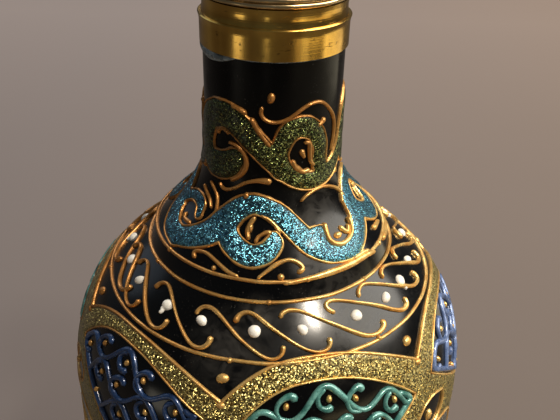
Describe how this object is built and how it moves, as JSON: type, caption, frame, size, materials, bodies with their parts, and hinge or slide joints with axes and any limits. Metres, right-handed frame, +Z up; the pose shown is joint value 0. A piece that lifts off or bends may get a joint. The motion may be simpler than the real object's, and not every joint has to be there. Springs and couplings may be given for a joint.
{
  "type": "genie bottle",
  "caption": "Bell-shaped black glass bottle with raised gold and glitter ornament, a brass collar and a screw-on brass stopper.",
  "frame": {"origin": "centre of the resting ring under the base", "axes": "+Z up along the bottle's axis, -Y towards the side the picture shows"},
  "size_m": [0.164, 0.164, 0.3527],
  "materials": {
    "black_glass": "black glass, gloss",
    "collar_brass": "spun brass, polished and a little worn",
    "cap_brass": "pale brass, turned and knurled",
    "clear_cement": "clear cement, gloss",
    "gold_paste": "gold relief paste, soft gloss",
    "white_paste": "white relief paste, soft gloss",
    "green_glitter": "green glitter in clear gel",
    "blue_glitter": "blue glitter in clear gel",
    "gold_glitter": "gold glitter in clear gel",
    "navy_enamel": "dark blue relief enamel, gloss",
    "mint_enamel": "green-blue relief enamel, gloss",
    "violet_enamel": "violet-blue relief enamel, gloss",
    "silver_glitter": "silver glitter in clear gel",
    "seal_rubber": "black rubber, matte",
    "rod_steel": "plain steel"
  },
  "bodies": {
    "bottle": {"glass_vessel": "black_glass", "neck_collar": "collar_brass", "collar_cement": "clear_cement", "disc_line": "gold_paste", "step_line": "gold_paste", "border_line": "gold_paste", "foot_lines": "gold_paste", "white_dots": "white_paste", "gold_dots": "gold_paste"},
    "seal": {"cap_seal": "seal_rubber"},
    "stopper": {"stopper_cap": "cap_brass", "rod_washer": "rod_steel", "rod_nut": "rod_steel", "tie_rod": "rod_steel", "stopper_dome": "collar_brass", "dome_ring": "cap_brass", "finial_spool": "collar_brass", "finial_ball": "cap_brass", "finial_tip": "collar_brass"}
  },
  "joints": [
    {"name": "stopper_rise", "type": "slide", "parent": "bottle", "child": "seal", "axis": [0, 0, 1], "range_m": [0, 0.006]},
    {"name": "stopper_turn", "type": "hinge", "parent": "seal", "child": "stopper", "pos_m": [0, 0, 0.262], "axis": [0, 0, 1], "range_deg": [0, 720]}
  ],
  "couplings": [
    {"joint": "stopper_rise", "follows": "stopper_turn", "m_per_rad": 0.00047746}
  ]
}
